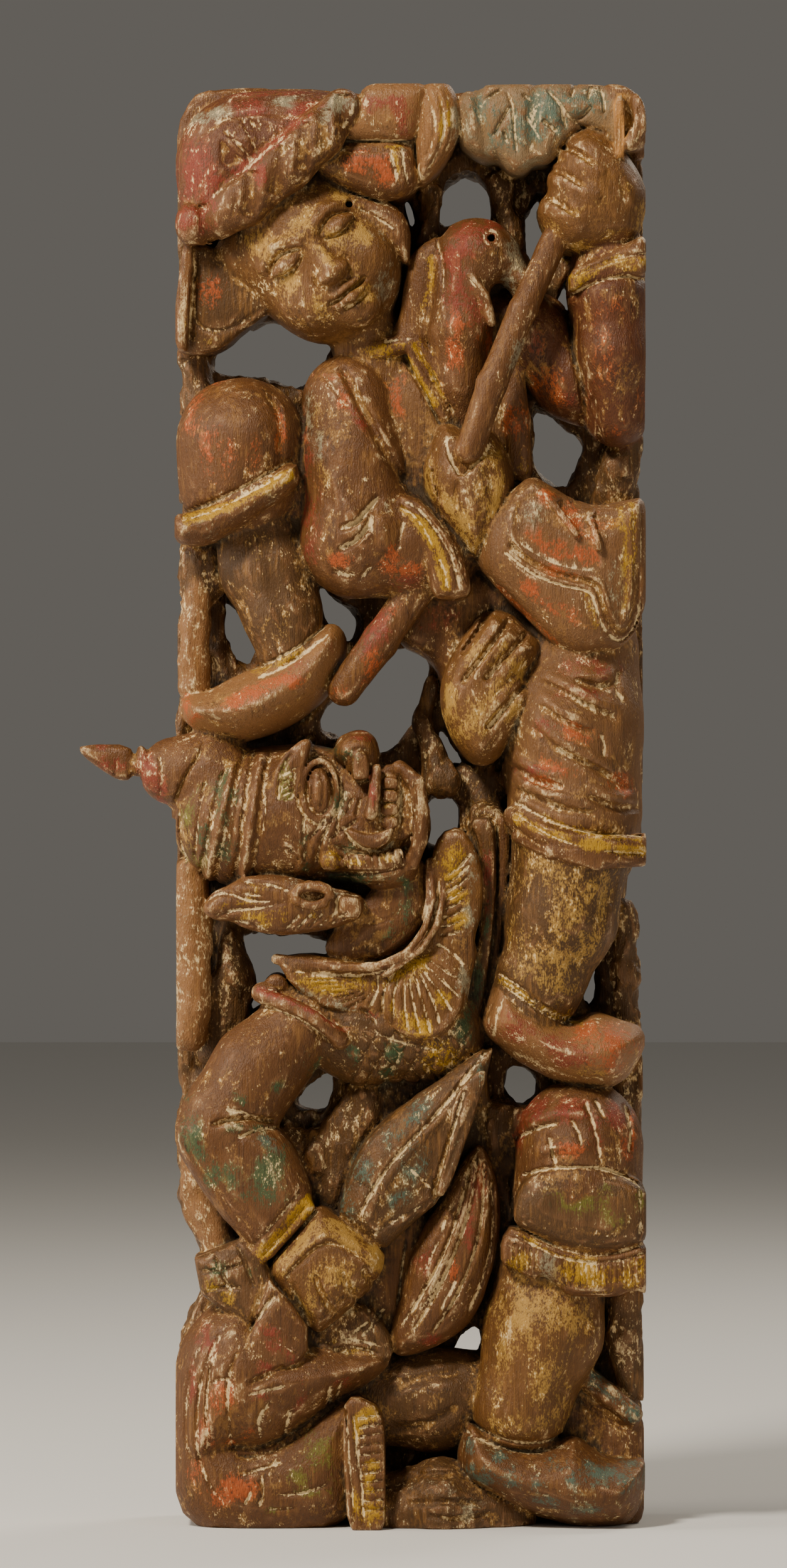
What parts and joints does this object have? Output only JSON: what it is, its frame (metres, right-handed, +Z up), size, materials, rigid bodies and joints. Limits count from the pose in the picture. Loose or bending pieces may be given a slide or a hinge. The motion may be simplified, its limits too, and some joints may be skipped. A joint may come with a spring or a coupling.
{
  "type": "carved wooden frieze panel",
  "caption": "Tall openwork wooden frieze panel, carved and painted with a standing figure over a kneeling guardian, standing on its flat lower end.",
  "frame": {"origin": "middle of the flat underside that the panel stands on", "axes": "+Z up the panel, +Y out of its plain back, so the carved front faces -Y, +X to the right of a person facing the front"},
  "size_m": [0.2355, 0.08, 0.599],
  "materials": {
    "painted_wood": "worn paint over satin brown wood"
  },
  "bodies": {
    "root": {"carved_frieze": "painted_wood"}
  },
  "joints": []
}
